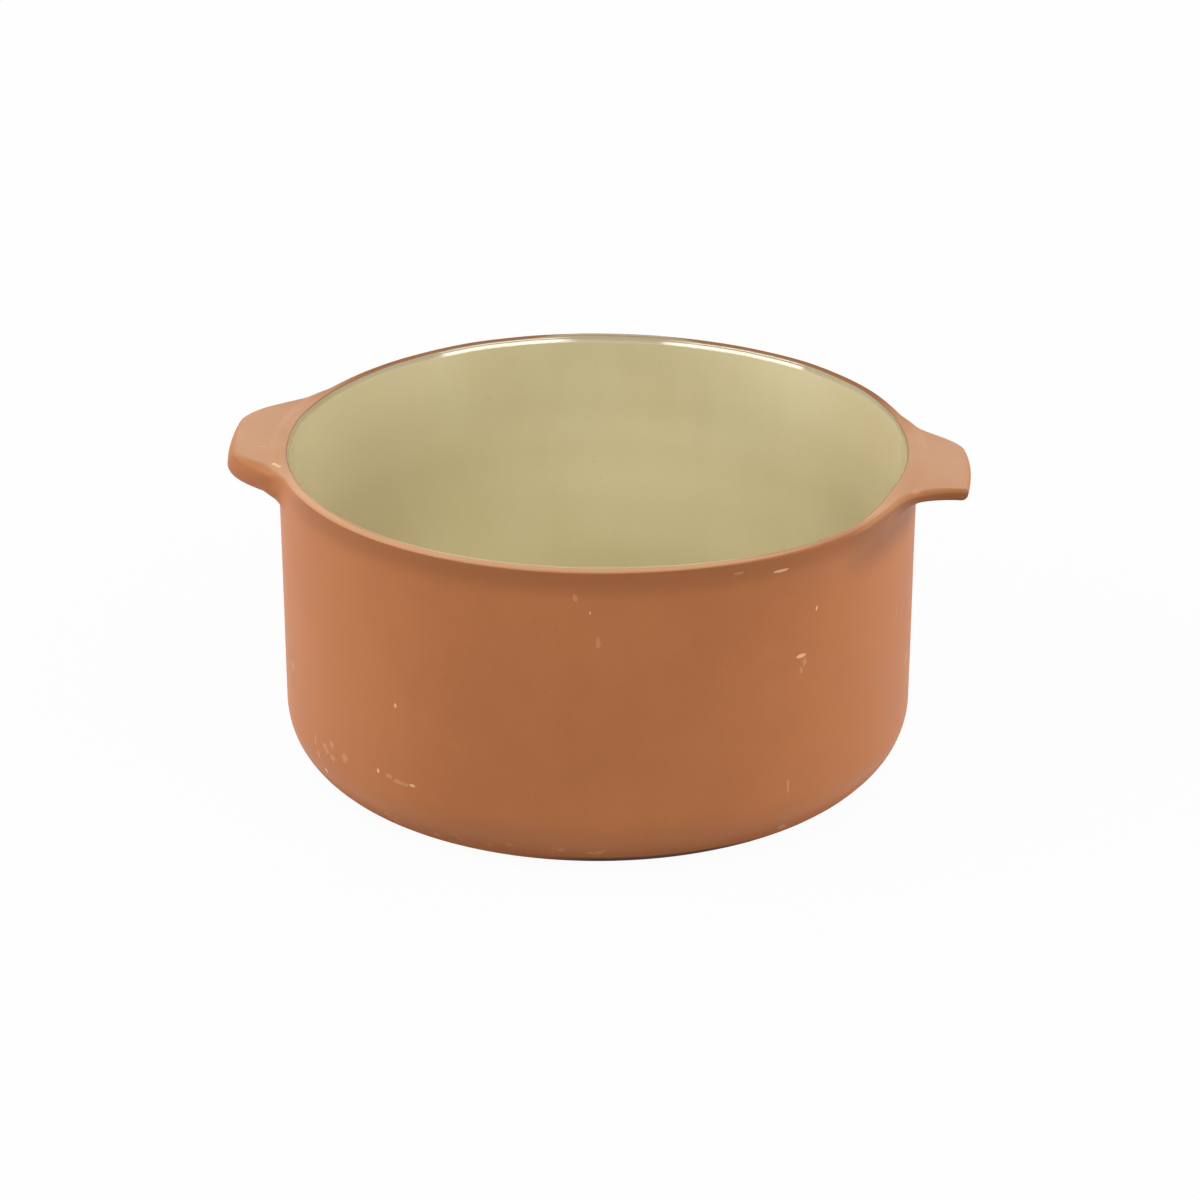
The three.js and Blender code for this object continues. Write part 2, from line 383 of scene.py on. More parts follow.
def hand_made(points):
    """The points as a potter's hands leave them: not quite round, and not quite level."""
    flat = points.reshape(-1, 3)
    moved = np.empty_like(flat)
    for i, (x, y, z) in enumerate(flat):
        sway = noise.noise_vector((x * SWAYS, y * SWAYS, z * SWAYS + 5))
        ripple = noise.noise_vector((x * RIPPLES, y * RIPPLES, z * RIPPLES / 2 + 9))
        moved[i] = sway * SWAY + ripple * RIPPLE
    moved *= ease(flat[:, 2:] / LEVEL_FOOT)
    return (flat + moved).reshape(points.shape)


# Beside the right lug, the clay was wiped along the lip, and pushed it out a little
LIP_PUSH = 0.0030
LIP_DIP = 0.0008  # which lowered it too
PUSH_ENDS = (math.radians(-78), math.radians(-12))  # from the right lug's middle
PUSH_EASES = (math.radians(40), math.radians(22))  # stretch over which it comes and goes
PUSH_HEIGHT = 0.022  # top of the wall that went with it


def pushed_out(points):
    angle = np.arctan2(points[..., 1], points[..., 0])
    push = ease((angle - PUSH_ENDS[0]) / PUSH_EASES[0]) * ease((PUSH_ENDS[1] - angle) / PUSH_EASES[1])
    push = push * ease((points[..., 2] - pot_height) / PUSH_HEIGHT + 1)
    outward = push * LIP_PUSH
    return points + np.stack(
        [outward * np.cos(angle), outward * np.sin(angle), push * -LIP_DIP], axis=-1
    )


skin = pushed_out(hand_made(round_axis(skin_radii, skin_heights, columns)))
row_count, column_count = skin.shape[:2]
skin_index = np.arange(row_count * column_count).reshape(row_count, column_count)


def quads(grid):
    """Faces of a grid of vertex numbers, a row at a time."""
    return np.stack([grid[:-1, :-1], grid[:-1, 1:], grid[1:, 1:], grid[1:, :-1]], axis=-1)


closed_index = np.column_stack([skin_index, skin_index[:, 0]])
skin_quads = quads(closed_index)
skin_points = skin.reshape(-1, 3)

# Normals of the whole skin, so that the parted pieces shade as one
corners = skin_points[skin_quads]
first_diagonals = corners[..., 2, :] - corners[..., 0, :]
second_diagonals = corners[..., 3, :] - corners[..., 1, :]
face_normals = np.cross(first_diagonals, second_diagonals)
skin_normals = np.zeros_like(skin_points)
for k in range(4):
    np.add.at(skin_normals, skin_quads[..., k].ravel(), face_normals.reshape(-1, 3))
skin_normals /= np.linalg.norm(skin_normals, axis=1, keepdims=True)


def closing_faces(lug, depth, first_number):
    """The hidden side of a joint: a face let into the wall, and a strip round it up to the skin. The
    faces look out of the clay of the body."""
    place = lug_columns[lug["name"]]
    edge_height = pot_height - BED_EDGE
    edge_turn = np.linspace(-DRAFT, UP - lug["root_end"], TOP_ROWS)
    wall_part = np.linspace(lug_foot(lug), edge_height, SIDE_ROWS + 1)[:-1]
    edge_radii = wall_radius(edge_height, BED_EDGE) + (BED_EDGE - depth) * np.cos(edge_turn)
    edge_part = edge_height + (BED_EDGE - depth) * np.sin(edge_turn)
    ones = np.ones(len(place))
    radii = np.concatenate([wall_radius(wall_part, depth), edge_radii])[:, None] * ones
    heights = np.concatenate([wall_part, edge_part])[:, None] * ones
    points = hand_made(round_axis(radii, heights, columns[place]))
    grid = first_number + np.arange(radii.size).reshape(radii.shape)
    shown = skin_index[np.ix_(lug_rows, place)]
    strips = [
        np.stack([shown[0], grid[0]]),
        np.stack([grid[-1], shown[-1]]),
        np.stack([grid[:, 0], shown[:, 0]], axis=1)[:, ::-1],
        np.stack([grid[:, -1], shown[:, -1]], axis=1),
    ]
    faces = [quads(strip).reshape(-1, 4) for strip in [grid, *strips]]
    return points.reshape(-1, 3), np.concatenate(faces)


def clay_piece(name, points, shown_faces, hidden_faces):
    """Closed mesh from numbered points, shaded with the normals of the whole skin."""
    faces = [list(face) for face in (*shown_faces, *hidden_faces)]
    used = sorted({number for face in faces for number in face})
    renumbered = {number: i for i, number in enumerate(used)}
    mesh = bpy.data.meshes.new(name)
    mesh.from_pydata(points[used].tolist(), [], [[renumbered[n] for n in face] for face in faces])
    smooth = np.arange(len(faces)) < len(shown_faces)
    mesh.polygons.foreach_set("use_smooth", smooth)
    corner_normals = [skin_normals[n] for face in shown_faces for n in face]
    corner_normals += [(0, 0, 0) for face in hidden_faces for _ in face]
    mesh.normals_split_custom_set(corner_normals)
    piece = bpy.data.objects.new(name, mesh)
    scene.collection.objects.link(piece)
    return piece


on_lug = np.zeros((row_count - 1, column_count), bool)
for place in lug_columns.values():
    on_lug[np.ix_(lug_rows[:-1], place[:-1])] = True

body_points = skin_points
body_hidden = []
lug_pieces = []
for lug in (RIGHT_LUG, LEFT_LUG):
    bed_points, bed_faces = closing_faces(lug, BED_DEPTH, len(body_points))
    body_points = np.concatenate([body_points, bed_points])
    body_hidden.extend(bed_faces.tolist())
    root_points, root_faces = closing_faces(lug, ROOT_DEPTH, len(skin_points))
    place = lug_columns[lug["name"]]
    lug_faces = skin_quads[np.ix_(lug_rows[:-1], place[:-1])].reshape(-1, 4)
    lug_points = np.concatenate([skin_points, root_points])
    piece = clay_piece(lug["name"], lug_points, lug_faces.tolist(), root_faces[:, ::-1].tolist())
    lug_pieces.append(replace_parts(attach(piece, "root"), lug["node"]))

under_middle = len(body_points)
floor_middle = under_middle + 1
body_points = np.concatenate([body_points, [(0, 0, FOOT_RISE), (0, 0, BASE)]])
for near, far in zip(closed_index[0, :-1], closed_index[0, 1:]):
    body_hidden.append([under_middle, far, near])
for near, far in zip(closed_index[-1, :-1], closed_index[-1, 1:]):
    body_hidden.append([floor_middle, near, far])
body = clay_piece("clay_body", body_points, skin_quads[~on_lug].tolist(), body_hidden)
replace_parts(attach(body, "root"), "pot_body")


class Amount:
    """A number that varies over a surface: a socket that takes arithmetic, a Math node at a time."""

    def __init__(self, recipe, socket):
        self.recipe = recipe
        self.socket = socket

    def math(self, operation, *terms):
        return self.recipe.node("Math", {"operation": operation}, dict(enumerate(terms)))

    def __add__(self, other):
        return self.math("ADD", self, other)

    def __sub__(self, other):
        return self.math("SUBTRACT", self, other)

    def __rsub__(self, other):
        return self.math("SUBTRACT", other, self)

    def __mul__(self, other):
        return self.math("MULTIPLY", self, other)

    def __truediv__(self, other):
        return self.math("DIVIDE", self, other)

    def __pow__(self, other):
        return self.math("POWER", self, other)

    def __or__(self, other):
        return self.math("MAXIMUM", self, other)

    def __and__(self, other):
        return self.math("MINIMUM", self, other)

    def __abs__(self):
        return self.math("ABSOLUTE", self)

    __radd__ = __add__
    __rmul__ = __mul__


class Recipe:
    """The nodes of a finish, or of the light around it."""

    def __init__(self, tree):
        self.tree = tree

    def node(self, kind, settings=None, sockets=None, output=0):
        made = self.tree.nodes.new("ShaderNode" + kind)
        for name, value in (settings or {}).items():
            setattr(made, name, value)
        for key, value in (sockets or {}).items():
            self.feed(made.inputs[key], value)
        return Amount(self, made.outputs[output])

    def feed(self, socket, value):
        if isinstance(value, Amount):
            self.tree.links.new(value.socket, socket)
        else:
            socket.default_value = value

    def place(self):
        return self.node("TexCoord", output=3)

    def cloud(self, size, detail=2.0, roughness=0.5, where=None):
        """Noise whose blotches are about this size, from 0 to 1."""
        sockets = {"Vector": where or self.place(), "Scale": 0.5 / size}
        return self.node("TexNoise", None, {**sockets, "Detail": detail, "Roughness": roughness})

    def ramp(self, value, start, end):
        """0 at start and 1 at end, eased between."""
        sockets = {"Value": value, "From Min": start, "From Max": end}
        return self.node("MapRange", {"interpolation_type": "SMOOTHSTEP"}, sockets)

    def blend(self, first, second, share):
        return self.node("Mix", {"data_type": "RGBA"}, {0: share, 6: first, 7: second}, output=2)


def new_finish(name):
    material = bpy.data.materials.new(name)
    material.use_nodes = True
    return material, Recipe(material.node_tree), material.node_tree.nodes["Principled BSDF"].inputs


def screen_colour(red, green, blue):
    """A colour as it looks on a screen, 0 to 255, in the shader's linear light."""
    return (*((channel / 255) ** 2.2 for channel in (red, green, blue)), 1.0)


# Fired clay: mottled by the kiln, fine-grained, with a satin skin. Chalky scuffs and small chips sit
# where the pot has been knocked, and one pale patch is a painted highlight. Each is given by its angle
# from the front, height, distance from the axis, and half its size round the pot, up it, and outward.
ANY = 1.0  # outward, so wide that only angle and height count
SCUFFS_AND_HIGHLIGHT = [
    (-55.6, 0.0275, 0.114, 0.0012, 0.0030, ANY),
    (-52.0, 0.0280, 0.114, 0.0022, 0.0016, ANY),
    (-49.2, 0.0305, 0.114, 0.0018, 0.0020, ANY),
    (-51.0, 0.0265, 0.114, 0.0018, 0.0016, ANY),
    (-54.5, 0.0225, 0.112, 0.0016, 0.0024, ANY),
    (-49.2, 0.0255, 0.114, 0.0022, 0.0016, ANY),
    (-45.2, 0.0285, 0.114, 0.0024, 0.0020, ANY),
    (-33.2, 0.0295, 0.114, 0.0024, 0.0014, ANY),
    (-31.3, 0.0286, 0.114, 0.0022, 0.0010, ANY),
    (-29.6, 0.0284, 0.114, 0.0028, 0.0009, ANY),
    (-67.2, 0.0470, 0.114, 0.0034, 0.0026, ANY),
    (83.9, 0.0477, 0.114, 0.0030, 0.0040, ANY),
    (75.4, 0.0737, 0.114, 0.0005, 0.0050, ANY),
    (46.0, 0.0740, 0.114, 0.0014, 0.0020, ANY),
    (45.3, 0.0718, 0.114, 0.0012, 0.0020, ANY),
    (42.9, 0.0279, 0.114, 0.0010, 0.0035, ANY),
    (31.2, 0.1154, 0.116, 0.0028, 0.0007, ANY),
    (3.2, 0.1099, 0.114, 0.0013, 0.0020, ANY),
    (7.1, 0.0931, 0.114, 0.0012, 0.0030, ANY),
    # a painted highlight on the right lug's front top edge, not a scuff
    (76.5, 0.1195, 0.121, 0.0030, 0.0014, 0.0040),
    (-83.5, 0.1195, 0.121, 0.0008, 0.0020, 0.0030),
]
CHIPS = [
    (-52.5, 0.0175, 0.111, 0.0008, 0.0011, ANY),
    (-35.8, 0.0300, 0.114, 0.0007, 0.0009, ANY),
    (-27.8, 0.0289, 0.114, 0.0014, 0.0006, ANY),
    (-31.3, 0.0580, 0.114, 0.0007, 0.0010, ANY),
    (45.2, 0.0772, 0.114, 0.0024, 0.0009, ANY),
    (48.5, 0.0935, 0.114, 0.0005, 0.0011, ANY),
    (39.6, 0.1131, 0.116, 0.0034, 0.0006, ANY),
    (5.7, 0.1044, 0.114, 0.0003, 0.0006, ANY),
    (-74.7, 0.1195, 0.1169, 0.0011, 0.0020, 0.0009),
    (-73.9, 0.1195, 0.1161, 0.0011, 0.0020, 0.0009),
    (-73.1, 0.1195, 0.1153, 0.0011, 0.0020, 0.0009),
]
clay, mix, clay_sockets = new_finish("fired_clay")
clay_sockets["Specular IOR Level"].default_value = 0.35
here = mix.place()
across, depth, height = (mix.node("SeparateXYZ", None, {0: here}, output=axis) for axis in range(3))
below_lip = pot_height - height
from_axis = (across * across + depth * depth) ** 0.5
from_front = across.math("ARCTAN2", across, depth * -1)
round_pot = from_front * rim_radius
on_pot = mix.node("CombineXYZ", None, {0: round_pot, 1: height, 2: from_axis})


def nearest(marks):
    """Distance to the nearest mark, 1 at its edge."""
    found = None
    for angle, up, out, wide, tall, deep in marks:
        middle = (math.radians(angle) * rim_radius, up, out)
        size = (wide, tall, deep)
        sockets = {
            0: on_pot,
            1: tuple(1 / side for side in size),
            2: tuple(-place / side for place, side in zip(middle, size)),
        }
        offset = mix.node("VectorMath", {"operation": "MULTIPLY_ADD"}, sockets)
        distance = mix.node("VectorMath", {"operation": "LENGTH"}, {0: offset}, output=1)
        found = distance if found is None else found & distance
    return found


# The kiln's mottle, with specks of grit
CLAY = screen_colour(165, 100, 57)
PALE_CLAY = screen_colour(171, 105, 61)
GRIT = screen_colour(150, 86, 40)
mottle = mix.cloud(0.030, 3.0)
patch = mix.cloud(0.007, 4.0, 0.6)
grain = mix.cloud(0.0006, 2.0, 0.6)
kiln = mix.ramp(mottle * 0.65 + patch * 0.35, 0.36, 0.66)
speck = mix.ramp(grain, 0.62, 0.75)
clay_colour = mix.blend(mix.blend(CLAY, PALE_CLAY, kiln), GRIT, speck * 0.35)

# Darker in a band under the lip at the front, which is painted shade, and on the lip at the back
UNDER_LIP_SHADE_CLAY = screen_colour(146, 88, 48)
BACK_LIP_CLAY = screen_colour(130, 78, 30)
under_lip_shade = mix.ramp(below_lip, 0.0130, 0.0030) * mix.ramp(below_lip, 0.0006, 0.0016)
under_lip_shade = under_lip_shade * mix.ramp(abs(from_front), 1.25, 0.95)
back_lip = mix.ramp(depth, 0.02, 0.07) * mix.ramp(below_lip, 0.0030, 0.0012)
clay_colour = mix.blend(clay_colour, UNDER_LIP_SHADE_CLAY, under_lip_shade * 0.9)
clay_colour = mix.blend(clay_colour, BACK_LIP_CLAY, back_lip * 0.8)

# Painted shade, darkest under the front of the lugs, more so at the right
UNDER_LUG_SHADE_CLAY = screen_colour(118, 70, 40)
under_lug_shade = mix.ramp(below_lip, 0.0020, 0.0034) * mix.ramp(below_lip, 0.026, 0.012)
under_lug_shade = under_lug_shade * mix.ramp(depth, 0.004, -0.022)
at_lugs = mix.ramp(across, 0.090, 0.106) * 0.65 + mix.ramp(across, -0.108, -0.116) * 0.35
clay_colour = mix.blend(clay_colour, UNDER_LUG_SHADE_CLAY, under_lug_shade * at_lugs)

# Painted sheen: paler and warmer on top of the lugs and along the front of the lip
LUG_TOP_SHEEN_CLAY = screen_colour(168, 115, 72)
FRONT_LIP_SHEEN_CLAY = screen_colour(206, 158, 116)
lug_top_sheen = mix.ramp(below_lip, 0.0032, 0.0018) * mix.ramp(abs(across), 0.094, 0.104)
front_lip_sheen = mix.ramp(below_lip, 0.0012, 0.0005) * mix.ramp(depth, -0.02, -0.06)
clay_colour = mix.blend(clay_colour, LUG_TOP_SHEEN_CLAY, lug_top_sheen * 0.6)
clay_colour = mix.blend(clay_colour, FRONT_LIP_SHEEN_CLAY, front_lip_sheen * 0.6)

# Scuffs, one of them a painted highlight on the right lug's front top edge, and chalky wear in spots
# round the foot
CHALK_AND_HIGHLIGHT = screen_colour(212, 166, 126)
crumbs = mix.cloud(0.0016, 3.0, 0.7)
scuff_and_highlight = mix.ramp(nearest(SCUFFS_AND_HIGHLIGHT) + crumbs * 1.6, 1.62, 1.30) * 0.28
foot_wear = mix.ramp(height, 0.0135, 0.0105) * mix.ramp(height, 0.0050, 0.0085)
foot_wear = foot_wear * mix.ramp(mix.cloud(0.004, 3.0, 0.7), 0.60, 0.70) * 0.5
chalk_and_highlight = scuff_and_highlight | foot_wear
clay_colour = mix.blend(clay_colour, CHALK_AND_HIGHLIGHT, chalk_and_highlight)

# Darker and rougher near the table, the darkening painted shade, a painted contact shadow outside the
# foot a little right of the front, and chipped here and there
SHADED_LOW_CLAY = screen_colour(150, 84, 38)
CONTACT_SHADOW_CLAY = screen_colour(46, 26, 18)
CONTACT_SHADOW_ANGLE = 0.30  # in radians from the front
CHIPPED_CLAY = screen_colour(232, 190, 146)
low = mix.ramp(height, 0.018, 0.004)
# the contact shadow under the pot, painted as a dark band low on the foot
contact_shadow = mix.ramp(height, 0.0078, 0.0058) * mix.ramp(abs(from_front - CONTACT_SHADOW_ANGLE), 0.52, 0.15)
contact_shadow = contact_shadow * mix.ramp(from_axis, foot_inside, corner_centre[0])
chip = mix.ramp(nearest(CHIPS) + crumbs * 0.6, 1.35, 1.00) * 0.65
clay_colour = mix.blend(clay_colour, SHADED_LOW_CLAY, low * 0.3)
clay_colour = mix.blend(clay_colour, CONTACT_SHADOW_CLAY, contact_shadow * 0.95)
clay_colour = mix.blend(clay_colour, CHIPPED_CLAY, chip)
mix.feed(clay_sockets["Base Color"], clay_colour)
satin = 0.5 + (patch - 0.5) * 0.16 + chalk_and_highlight * 0.25 + back_lip * 0.35 + low * 0.45
mix.feed(clay_sockets["Roughness"], satin)
relief = grain * 0.3 + patch * 0.8 + chip * -0.6
bump = mix.node("Bump", None, {"Strength": 0.35, "Distance": 0.00012, "Height": relief})
mix.feed(clay_sockets["Normal"], bump)
for piece in (body, *lug_pieces):
    piece.data.materials.append(clay)


# Luting slip. Liquid clay, brushed on the scored bed and on the root of each lug before they are
# pressed together. It is sealed in the joint, and keeps the shape of its solid.
slip, mix, slip_sockets = new_finish("luting_slip")
brush_marks = mix.cloud(0.0012, 3.0, 0.6)
slip_colour = mix.blend(screen_colour(156, 94, 66), screen_colour(178, 112, 82), brush_marks)
mix.feed(slip_sockets["Base Color"], slip_colour)
mix.feed(slip_sockets["Roughness"], 0.72 + brush_marks * 0.2)
mix.feed(
    slip_sockets["Normal"],
    mix.node("Bump", None, {"Strength": 0.5, "Distance": 0.0002, "Height": brush_marks}),
)
for name in ("right_luting_slip", "left_luting_slip"):
    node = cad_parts[name]
    node.data.materials.clear()
    node.data.materials.append(slip)


# Glaze lining. A glassy khaki coat, poured in and swilled round before firing, so that it ends in
# a wandering edge on the lip, and runs over the crown of the lip at the back.
GLAZE = 0.0008  # with the bond under it
GLAZE_EDGE = 0.0001  # where it thins out on the lip
GLAZE_BACK = 0.00005  # its hidden side, just clear of the clay
GLAZE_THINS = 0.0012  # top of the wall over which it does
EDGE_CLIMB = 0.0013  # how far it climbs over the lip from the top of the wall
FRONT_CLIMB = 0.0008  # and how much further at the front
LUG_CLIMB = -0.0006  # and beside the right lug
LUG_CLIMB_ANGLE = math.radians(-20)  # forward of that lug's middle
EDGE_WANDER = 0.0002
BACK_RUN = 0.0021  # further climb where it runs over the crown
BACK_RUN_ANGLE = math.radians(93)
BACK_RUN_WIDTH = math.radians(11)
BACK_RUN_END = 1.6  # widths from its middle, where it has run out
RING_PITCH = 0.021  # of the thrower's finger rings that show through the glaze
RING_DEPTH = 0.00012
RING_TILT = 0.6  # in radians of a ring, since they aren't quite level
RING_EASE = 0.02  # stretch over which they begin and end
RINGS_BELOW_LIP = 0.008
MIDDLE_RING = 0.015  # radius of the smallest ring of the mesh on the floor
SHOWN_STEPS = (16, 34, 30)  # up the corner, the wall and the lip
BACK_STEPS = (8, 6, 14)  # and on the hidden side
GLAZE_COLUMNS = 320
glaze_columns = np.linspace(0, math.tau, GLAZE_COLUMNS, endpoint=False)

LAST_WALL = 0.0015  # top of the wall that is counted with the lip
inner_round = LIP_INNER_EDGE * (UP - DRAFT)
lip_land = rim_radius - LIP_EDGE - inner_lip_radius


def glaze_on_lip(climb, thickness):
    """Point of the glaze on the lip, by its climb over the clay from the top of the wall."""
    below = np.minimum(climb, 0)
    turn = math.pi - DRAFT - np.clip(climb, 0, inner_round) / LIP_INNER_EDGE
    land = np.clip(climb - inner_round, 0, lip_land)
    radii = inner_lip_radius + land + (LIP_INNER_EDGE + thickness) * np.cos(turn)
    radii = radii + below * math.sin(DRAFT)
    crown = lip_height(inner_lip_radius + land) - LIP_INNER_EDGE
    heights = crown + (LIP_INNER_EDGE + thickness) * np.sin(turn) + below * math.cos(DRAFT)
    return radii, heights


def wander(waves, seed):
    """A random swing round the pot, quicker with more waves."""
    circle = [(waves * math.cos(angle), waves * math.sin(angle), seed) for angle in glaze_columns]
    return np.array([noise.noise(point) for point in circle])


def facing(angle, start, end):
    """0 to 1 as the lip turns to face an angle, by the cosine between them."""
    return ease((np.cos(glaze_columns - angle) - start) / (end - start))


edge_wander = wander(4, 2.0) + 0.5 * wander(14, 7.0)
over_back = ease(BACK_RUN_END - np.abs(glaze_columns - BACK_RUN_ANGLE) / BACK_RUN_WIDTH)
over_front = facing(-UP, 0.55, 0.85)
by_right_lug = facing(LUG_CLIMB_ANGLE, 0.70, 0.95)
edge_climb = EDGE_CLIMB + EDGE_WANDER * edge_wander + BACK_RUN * over_back
edge_climb = edge_climb + FRONT_CLIMB * over_front + LUG_CLIMB * by_right_lug


def glaze_rows(steps, thickness_at):
    """Rows from the middle of the floor up to the glaze's edge, at a thickness over the clay."""
    corner_steps, wall_steps, lip_steps = steps
    ones = np.ones(len(glaze_columns))
    thick = thickness_at(1.0)
    floor = [(r, BASE + thick) for r in np.linspace(MIDDLE_RING, inner_corner_centre[0], 6)[:-1]]
    turn = np.linspace(-UP, -DRAFT, corner_steps + 1)[:-1]
    bend = INNER_CORNER_RADIUS - thick
    curve = [
        (inner_corner_centre[0] + bend * math.cos(t), inner_corner_centre[1] + bend * math.sin(t))
        for t in turn
    ]
    wall_top = inner_lip_height + LIP_INNER_EDGE * math.sin(DRAFT) - LAST_WALL
    low = inner_corner_height - bend * math.sin(DRAFT)
    wall = [(wall_radius(h, WALL + thick), h) for h in np.linspace(low, wall_top, wall_steps + 1)[:-1]]
    radii, heights = (np.array(values)[:, None] * ones for values in zip(*floor, *curve, *wall))
    climb = (edge_climb + LAST_WALL) * np.linspace(0, 1, lip_steps + 1)[:, None] - LAST_WALL
    lip_radii, lip_heights = glaze_on_lip(climb, thickness_at(-climb / GLAZE_THINS))
    climbs = np.concatenate([np.full(len(radii), -1.0)[:, None] * ones, climb])
    return np.vstack([radii, lip_radii]), np.vstack([heights, lip_heights]), climbs


shown_radii, shown_heights, climbs = glaze_rows(
    SHOWN_STEPS, lambda share: GLAZE_EDGE + (GLAZE - GLAZE_EDGE) * np.clip(share, 0, 1)
)
finger_rings = np.sin(math.tau * shown_heights / RING_PITCH + RING_TILT * np.sin(glaze_columns + 1))
rings_begin = ease((shown_heights - BASE - RING_EASE) / RING_EASE)
rings_end = ease((pot_height - RINGS_BELOW_LIP - shown_heights) / RING_EASE)
shown_radii = shown_radii + RING_DEPTH * finger_rings * (rings_begin * rings_end)
back_radii, back_heights, _ = glaze_rows(BACK_STEPS, lambda share: GLAZE_BACK * np.ones_like(share))
glaze_sheets = [
    round_axis(shown_radii, shown_heights, glaze_columns),
    round_axis(back_radii[::-1], back_heights[::-1], glaze_columns),
]
glaze_points = pushed_out(hand_made(np.concatenate(glaze_sheets)))
shown_rows = len(shown_radii)
glaze_index = np.arange(glaze_points.shape[0] * len(glaze_columns)).reshape(glaze_points.shape[:2])
glaze_loop = np.column_stack([glaze_index, glaze_index[:, 0]])
glaze_quads = quads(glaze_loop).reshape(-1, 4)[:, ::-1].tolist()
glaze_count = glaze_index.size
glaze_fans = []
for near, far in zip(glaze_loop[0, :-1], glaze_loop[0, 1:]):
    glaze_fans.append([glaze_count, int(near), int(far)])
for near, far in zip(glaze_loop[-1, :-1], glaze_loop[-1, 1:]):
    glaze_fans.append([glaze_count + 1, int(far), int(near)])
middles = [(0, 0, BASE + GLAZE), (0, 0, BASE + GLAZE_BACK)]
glaze_mesh = bpy.data.meshes.new("glaze_coat")
glaze_mesh.from_pydata(
    glaze_points.reshape(-1, 3).tolist() + middles, [], glaze_quads + glaze_fans
)
shown_faces = (shown_rows - 1) * len(glaze_columns)
smooth = np.ones(len(glaze_mesh.polygons), bool)
smooth[shown_faces : len(glaze_quads)] = False
glaze_mesh.polygons.foreach_set("use_smooth", smooth)

# For the finish: how far the glaze has climbed over the lip, and how far it is from its edge
for name, values, at_middle in (("climb", climbs, -1.0), ("to_edge", edge_climb - climbs, 1.0)):
    values = np.concatenate([values.ravel(), np.zeros(back_radii.size), [at_middle, at_middle]])
    glaze_mesh.attributes.new(name, "FLOAT", "POINT").data.foreach_set("value", values)
glaze_coat = bpy.data.objects.new("glaze_coat", glaze_mesh)
scene.collection.objects.link(glaze_coat)
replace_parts(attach(glaze_coat, "root"), "glaze_lining")

glaze, mix, glaze_sockets = new_finish("khaki_glaze")
glaze_sockets["Coat Roughness"].default_value = 0.08
glaze_sockets["Coat IOR"].default_value = 1.9
here = mix.place()
across, depth = (mix.node("SeparateXYZ", None, {0: here}, output=axis) for axis in range(2))

# Clouded and streaked as it ran, with fine specks, and darker towards the lugs, which is painted shade
KHAKI = screen_colour(210, 198, 156)
PALE_KHAKI = screen_colour(217, 207, 168)
SPECK_KHAKI = screen_colour(180, 163, 118)
SHADED_SIDE_KHAKI = screen_colour(195, 181, 144)
cloud = mix.cloud(0.040, 2.0)
streak_place = mix.node("Mapping", None, {0: here, 3: (1.0, 1.0, 0.35)})
streaks = mix.cloud(0.012, 3.0, 0.55, streak_place)
specks = mix.ramp(mix.cloud(0.0011, 1.0, 0.4), 0.70, 0.80)
paler = mix.ramp(cloud * 0.6 + streaks * 0.4, 0.35, 0.65)
glaze_colour = mix.blend(mix.blend(KHAKI, PALE_KHAKI, paler), SPECK_KHAKI, specks * 0.15)
glaze_colour = mix.blend(glaze_colour, SHADED_SIDE_KHAKI, mix.ramp(abs(across), 0.060, 0.106))

# A browner film over the lip's rounding, partly thinning glaze and partly painted shade against the
# light it catches as it tilts up, a matt crown, and an edge so thin that the clay shows through
FILM_AND_SHADE_KHAKI = screen_colour(168, 152, 108)
FRONT_CROWN = screen_colour(204, 172, 132)
SIDE_CROWN = screen_colour(174, 130, 90)
BACK_CROWN = screen_colour(146, 122, 86)
CLAY_THROUGH = screen_colour(112, 70, 38)
stray = (streaks - 0.5) * 0.0003
climb_here, to_edge_here = (
    mix.node("Attribute", {"attribute_name": name}, None, output=2) + stray
    for name in ("climb", "to_edge")
)
film_and_shade = mix.ramp(climb_here, -0.0014, -0.0006)
crown = mix.ramp(climb_here, 0.0003, 0.0012)
thin = mix.ramp(to_edge_here, 0.0007, 0.0003) * mix.ramp(depth, -0.07, -0.02)
crown_colour = mix.blend(FRONT_CROWN, SIDE_CROWN, mix.ramp(depth, -0.105, -0.085))
crown_colour = mix.blend(crown_colour, BACK_CROWN, mix.ramp(depth, -0.02, 0.03))
glaze_colour = mix.blend(glaze_colour, FILM_AND_SHADE_KHAKI, film_and_shade)
glaze_colour = mix.blend(glaze_colour, crown_colour, crown * 0.85)
glaze_colour = mix.blend(glaze_colour, CLAY_THROUGH, thin * 0.8)
mix.feed(glaze_sockets["Base Color"], glaze_colour)
mix.feed(glaze_sockets["Roughness"], 0.10 + (streaks - 0.5) * 0.06 + crown * 0.5)
mix.feed(glaze_sockets["Coat Weight"], film_and_shade * (1 - crown) * mix.ramp(depth, 0.03, 0.07))
dimple = mix.cloud(0.006, 2.0)
mix.feed(
    glaze_sockets["Normal"],
    mix.node("Bump", None, {"Strength": 0.25, "Distance": 0.0003, "Height": dimple}),
)
glaze_mesh.materials.append(glaze)


# Floor. A plain pale sheet, white to the eye, which still takes the pot's shadow.
FLOOR_HALF = 6.0
FLOOR_HEIGHT = -0.0002  # just clear of the foot
FLOOR_GREY = 0.68  # as the light finds it
FLOOR_WHITE = 0.96  # share of the floor's look that is plain white, without shade
floor_mesh = bpy.data.meshes.new("floor")
floor_mesh.from_pydata(
    [(x * FLOOR_HALF, y * FLOOR_HALF, FLOOR_HEIGHT) for x, y in ((-1, -1), (1, -1), (1, 1), (-1, 1))],
    [],
    [(0, 1, 2, 3)],
)
floor = bpy.data.objects.new("floor", floor_mesh)
scene.collection.objects.link(floor)

RAY_NAMES = ("Is Camera Ray", "Is Glossy Ray", "Is Transmission Ray")


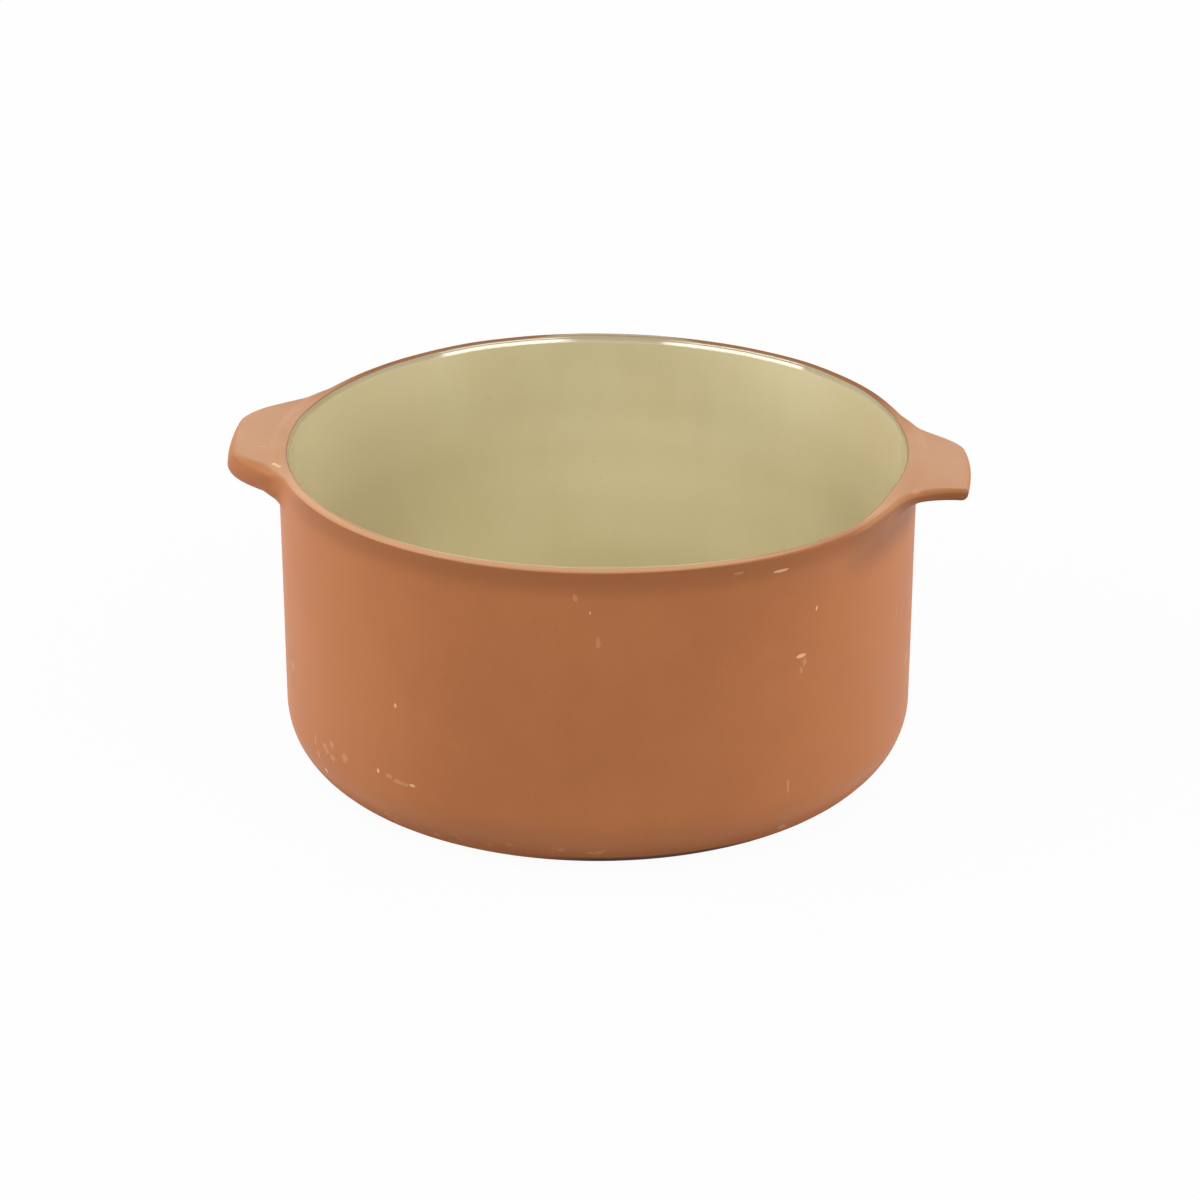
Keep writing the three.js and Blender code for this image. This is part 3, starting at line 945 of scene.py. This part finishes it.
def seen_directly(recipe):
    """1 for what the eye, a reflection or a clear piece shows, and 0 for light on its way."""
    rays = [recipe.node("LightPath", output=name) for name in RAY_NAMES]
    return rays[0] | rays[1] | rays[2]


pale, mix, pale_sockets = new_finish("pale_floor")
pale_sockets["Base Color"].default_value = (FLOOR_GREY, FLOOR_GREY, FLOOR_GREY, 1)
pale_sockets["Roughness"].default_value = 0.9
pale_sockets["Specular IOR Level"].default_value = 0.0
white = mix.node("Emission", None, {"Color": (1, 1, 1, 1), "Strength": 1.0})
shaded = Amount(mix, pale.node_tree.nodes["Principled BSDF"].outputs[0])
mixed = mix.node("MixShader", None, {0: seen_directly(mix) * FLOOR_WHITE, 1: shaded, 2: white})
mix.feed(pale.node_tree.nodes["Material Output"].inputs["Surface"], mixed)
floor_mesh.materials.append(pale)


# Light. A white tent all round, a low lamp at each side that the glaze doesn't mirror, two broad strips
# in front that draw the bright lines inside the far lip, a warm lamp behind and a wide one overhead.
TENT = 0.02  # strength of its own light
LAMP_DISTANCE = 1.6
world = bpy.data.worlds.new("tent")
world.use_nodes = True
scene.world = world
mix = Recipe(world.node_tree)
tent = world.node_tree.nodes["Background"].inputs
tent["Color"].default_value = (1, 1, 1, 1)
mix.feed(tent["Strength"], TENT + seen_directly(mix) * (1 - TENT))


def towards(azimuth, elevation):
    """Direction from the pot, by degrees round from the front and up from the table."""
    turn, rise = math.radians(azimuth), math.radians(elevation)
    return Vector((math.sin(turn) * math.cos(rise), -math.cos(turn) * math.cos(rise), math.sin(rise)))


def lamp(name, azimuth, elevation, wide, tall, watts, colour=(1, 1, 1), mirrored=True):
    light = bpy.data.lights.new(name, "AREA")
    light.shape = "RECTANGLE"
    light.size = wide
    light.size_y = tall
    light.energy = watts
    light.color = colour
    holder = bpy.data.objects.new(name, light)
    direction = towards(azimuth, elevation)
    holder.location = direction * LAMP_DISTANCE + Vector((0, 0, pot_height / 2))
    holder.rotation_euler = direction.to_track_quat("Z", "Y").to_euler()
    holder.visible_camera = False
    holder.visible_glossy = mirrored
    scene.collection.objects.link(holder)


lamp("left_side_lamp", -98, 12, 0.9, 0.5, 14.8, mirrored=False)
lamp("right_side_lamp", 108, 13, 0.9, 0.5, 14.2, mirrored=False)
lamp("right_strip", 47, 36, 1.3, 0.7, 13.4)
lamp("left_strip", -55, 36, 1.4, 0.7, 13.8)
lamp("back_lamp", 187, 23, 1.8, 0.5, 9.5, (1.0, 0.97, 0.80))
lamp("top_lamp", 7, 86, 3.0, 3.0, 8.8)


# Camera, where the photographer stood
VIEW_AZIMUTH = 7.0
VIEW_ELEVATION = 23.59
VIEW_DISTANCE = 1.876
VIEW_TARGET = Vector((0.00074, 0.00062, 0.05889))
LENS = 154.15
SENSOR = 36.0
camera_data = bpy.data.cameras.new("camera")
camera_data.lens = LENS
camera_data.sensor_width = SENSOR
camera = bpy.data.objects.new("camera", camera_data)
to_camera = towards(VIEW_AZIMUTH, VIEW_ELEVATION)
camera.location = VIEW_TARGET + to_camera * VIEW_DISTANCE
camera.rotation_euler = to_camera.to_track_quat("Z", "Y").to_euler()
scene.collection.objects.link(camera)
scene.camera = camera
scene.view_settings.view_transform = "Standard"
